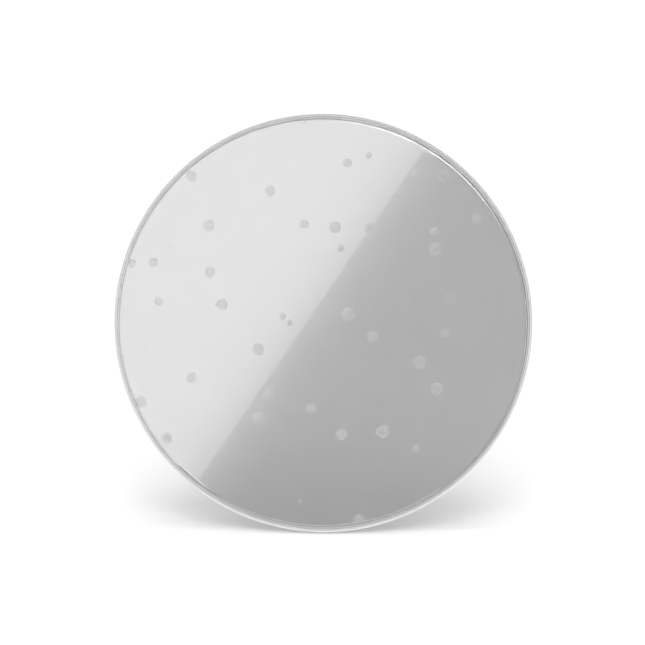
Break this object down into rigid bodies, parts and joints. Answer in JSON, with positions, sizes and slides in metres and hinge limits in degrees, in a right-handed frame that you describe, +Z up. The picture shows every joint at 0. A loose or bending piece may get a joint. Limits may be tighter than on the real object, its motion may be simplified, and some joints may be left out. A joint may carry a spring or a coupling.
{
  "type": "drum head",
  "caption": "Clear double-ply drum head with an oil layer between the sheets, a formed collar and a rolled aluminium hoop; clamps over a drum shell's bearing edge.",
  "frame": {"origin": "centre of the bearing-edge seat, on the underside of the film's flat crown", "axes": "+Y along the head's axis away from the player, out of the open shell side; the playing face looks along -Y; +Z up, the head standing upright as pictured; the hoop's seam is at the bottom"},
  "size_m": [0.37, 0.0177, 0.37],
  "materials": {
    "rolled_aluminium": "satin mill finish with fine rolling lines round the hoop",
    "cast_resin": "glossy, slightly cloudy casting",
    "clear_film": "clear polyester film, high gloss, grey where the backing is white",
    "clear_oil": "thin clear oil film with trapped air pockets",
    "seal_adhesive": "clear adhesive"
  },
  "bodies": {
    "root": {"hoop_channel": "rolled_aluminium", "hoop_resin": "cast_resin", "top_ply": "clear_film", "bottom_ply": "clear_film", "oil_film": "clear_oil", "edge_seal": "seal_adhesive"}
  },
  "joints": []
}
